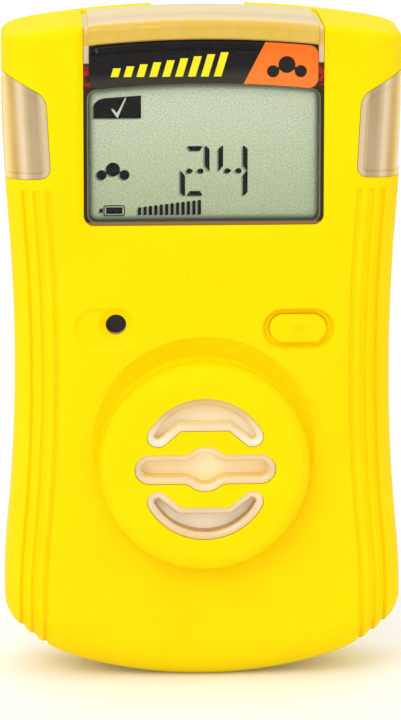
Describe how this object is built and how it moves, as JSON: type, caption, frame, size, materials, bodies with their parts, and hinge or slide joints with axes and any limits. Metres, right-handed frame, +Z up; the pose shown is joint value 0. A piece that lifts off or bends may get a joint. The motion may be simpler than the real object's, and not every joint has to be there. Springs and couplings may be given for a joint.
{
  "type": "portable gas detector",
  "caption": "Pocket single-gas detector with a yellow jacket, arched display, round sensor boss with curved slots and a belt clip.",
  "frame": {"origin": "on the floor under the middle of the bounding box, with the case standing on its foot", "axes": "+Z up the case, +Y from the display towards the clip, +X to the right of someone facing the display"},
  "size_m": [0.0504, 0.028, 0.0847],
  "materials": {
    "yellow_rubber": "satin soft overmould",
    "clear_polycarbonate": "clear, slightly smoked",
    "charcoal_plastic": "fine texture",
    "black_gloss": "domed gloss",
    "lcd": "display glass",
    "white_plastic": "satin",
    "milky_plastic": "milky",
    "seal_rubber": "matte",
    "board_green": "solder mask",
    "membrane": "porous white",
    "battery_wrap": "foil",
    "steel": "brushed",
    "brass": "machined",
    "copper_flex": "amber film",
    "foam": "foam",
    "label_film": "printed film"
  },
  "bodies": {
    "case": {"front_jacket": "yellow_rubber", "rear_jacket": "yellow_rubber", "front_shell": "clear_polycarbonate", "rear_shell": "charcoal_plastic", "perimeter_seal": "seal_rubber", "display_label": "black_gloss", "lcd_glass": "lcd", "lcd_frame": "white_plastic", "contact_strips": "seal_rubber", "display_board": "board_green", "display_flex": "copper_flex", "alarm_leds": "white_plastic", "side_diffusers": "milky_plastic", "top_light_guide": "milky_plastic", "battery": "battery_wrap", "battery_tabs": "steel", "battery_pad": "foam", "main_board": "board_green", "board_components": "charcoal_plastic", "tact_switch": "charcoal_plastic", "sounder": "charcoal_plastic", "sounder_mesh": "seal_rubber", "sensor_filter": "membrane", "sensor_gasket": "seal_rubber", "sensor_cell": "white_plastic", "sensor_pins": "brass", "vibration_motor": "steel", "motor_cradle": "seal_rubber", "inserts": "brass", "housing_screws": "steel", "rear_label": "label_film", "clip_base": "steel", "clip_pin": "steel", "clip_spring": "steel", "clip_screws": "steel", "jaw_pad": "seal_rubber"},
    "button": {"power_button": "yellow_rubber", "switch_plunger": "white_plastic"},
    "clip": {"clip_lever": "steel"},
    "vibrator": {"motor_shaft": "steel", "motor_weight": "steel"}
  },
  "joints": [
    {"name": "power_button_press", "type": "slide", "parent": "case", "child": "button", "axis": [0, 1, 0], "range_m": [0, 0.00035], "stiffness_N_per_m": 3000, "springref_m": -0.0003},
    {"name": "clip_hinge", "type": "hinge", "parent": "case", "child": "clip", "pos_m": [0, 0.0112, 0.063], "axis": [1, 0, 0], "range_deg": [0, 9], "stiffness_Nm_per_rad": 0.8, "springref_deg": -6.88, "deforming": ["clip_spring"]},
    {"name": "motor_spin", "type": "hinge", "parent": "case", "child": "vibrator", "pos_m": [0.0057, 0.0012, 0.0464], "axis": [1, 0, 0], "continuous": true}
  ]
}
